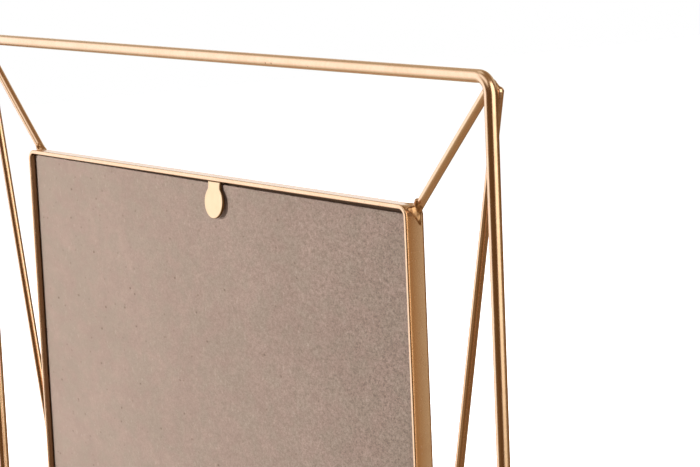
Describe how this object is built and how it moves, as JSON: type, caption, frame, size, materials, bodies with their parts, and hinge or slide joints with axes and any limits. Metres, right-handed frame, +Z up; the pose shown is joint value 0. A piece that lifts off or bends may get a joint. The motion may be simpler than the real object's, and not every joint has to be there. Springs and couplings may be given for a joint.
{
  "type": "wire picture frame",
  "caption": "Flat gold wire rectangle that carries a slim metal picture box on thin slanted wires, with glass, fibreboard back and bendable retaining tabs; hangs by its top wire.",
  "frame": {"origin": "hang point: middle of the underside of the top run of the outer wire", "axes": "+Z up, +Y back towards the wall, +X to the right seen from the front; the picture side faces -Y"},
  "size_m": [0.2798, 0.0064, 0.3306],
  "materials": {
    "gold_plate": "satin gold plated steel wire and strip",
    "weld_plate": "gold plated weld bead, slightly rough",
    "tab_plate": "satin pale gold plated steel sheet",
    "glass": "clear picture glass",
    "paper": "plain matt white paper",
    "hardboard": "bare grey-brown fibreboard, fine speckle"
  },
  "bodies": {
    "frame": {"outer_wire": "gold_plate", "corner_strut_top_left": "gold_plate", "corner_strut_top_right": "gold_plate", "corner_strut_bottom_left": "gold_plate", "corner_strut_bottom_right": "gold_plate", "side_brace_upper_left": "gold_plate", "side_brace_upper_right": "gold_plate", "side_brace_lower_left": "gold_plate", "side_brace_lower_right": "gold_plate", "rail_strip": "gold_plate", "front_lip": "gold_plate", "glass_pane": "glass", "photo_print": "paper", "backing_board": "hardboard", "tab_foot_top": "tab_plate", "tab_foot_bottom": "tab_plate", "tab_foot_left": "tab_plate", "tab_foot_right": "tab_plate", "outer_corner_welds": "weld_plate", "box_corner_welds": "weld_plate", "brace_foot_welds": "weld_plate"},
    "tab_top": {"tab_top": "tab_plate"},
    "tab_bottom": {"tab_bottom": "tab_plate"},
    "tab_left": {"tab_left": "tab_plate"},
    "tab_right": {"tab_right": "tab_plate"}
  },
  "joints": [
    {"name": "tab_top_bend", "type": "hinge", "parent": "frame", "child": "tab_top", "pos_m": [-0.0085, 0.00035, -0.03495], "axis": [1, 0, 0], "range_deg": [-5, 85]},
    {"name": "tab_bottom_bend", "type": "hinge", "parent": "frame", "child": "tab_bottom", "pos_m": [0, 0.00035, -0.28865], "axis": [-1, 0, 0], "range_deg": [-5, 85]},
    {"name": "tab_right_bend", "type": "hinge", "parent": "frame", "child": "tab_right", "pos_m": [0.10145, 0.00035, -0.1618], "axis": [0, 0, -1], "range_deg": [-5, 85]},
    {"name": "tab_left_bend", "type": "hinge", "parent": "frame", "child": "tab_left", "pos_m": [-0.10145, 0.00035, -0.1618], "axis": [0, 0, 1], "range_deg": [-5, 85]}
  ]
}
